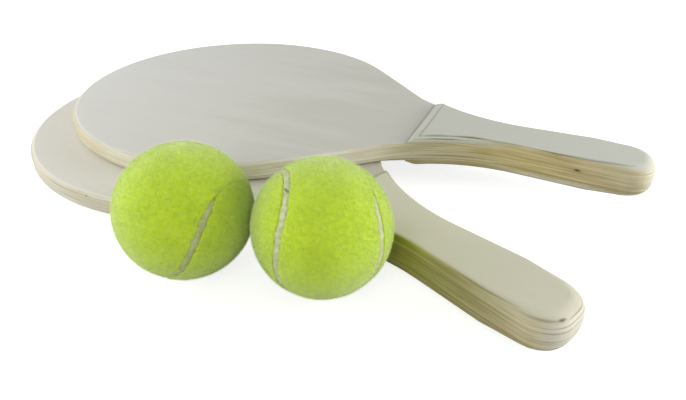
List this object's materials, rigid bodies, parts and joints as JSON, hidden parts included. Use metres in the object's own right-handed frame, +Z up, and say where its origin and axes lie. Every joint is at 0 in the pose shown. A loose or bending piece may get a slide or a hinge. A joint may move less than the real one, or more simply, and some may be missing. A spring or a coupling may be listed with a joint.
{
  "type": "beach paddle ball set",
  "caption": "Wooden beach paddles lying crossed on each other, with yellow-green felt balls beside them, for a hitting game.",
  "frame": {"origin": "on the table, under the middle of the whole set's bounding box", "axes": "+Z up from the table; +X to the right as the picture sees the set, along its longest extent; +Y away from the picture's camera"},
  "size_m": [0.394, 0.3444, 0.0658],
  "materials": {
    "birch_plywood": "fine sanded, clear matt lacquer",
    "birch_scale": "fine sanded, clear matt lacquer",
    "seam_rubber": "matt moulded rubber",
    "yellow_felt": "short raised nap"
  },
  "bodies": {
    "root": {"lower_blade": "birch_plywood", "lower_handle_scale_top": "birch_scale", "lower_handle_scale_bottom": "birch_scale", "upper_blade": "birch_plywood", "upper_handle_scale_top": "birch_scale", "upper_handle_scale_bottom": "birch_scale", "left_ball_core": "seam_rubber", "left_ball_felt_a": "yellow_felt", "left_ball_felt_b": "yellow_felt", "right_ball_core": "seam_rubber", "right_ball_felt_a": "yellow_felt", "right_ball_felt_b": "yellow_felt"}
  },
  "joints": []
}
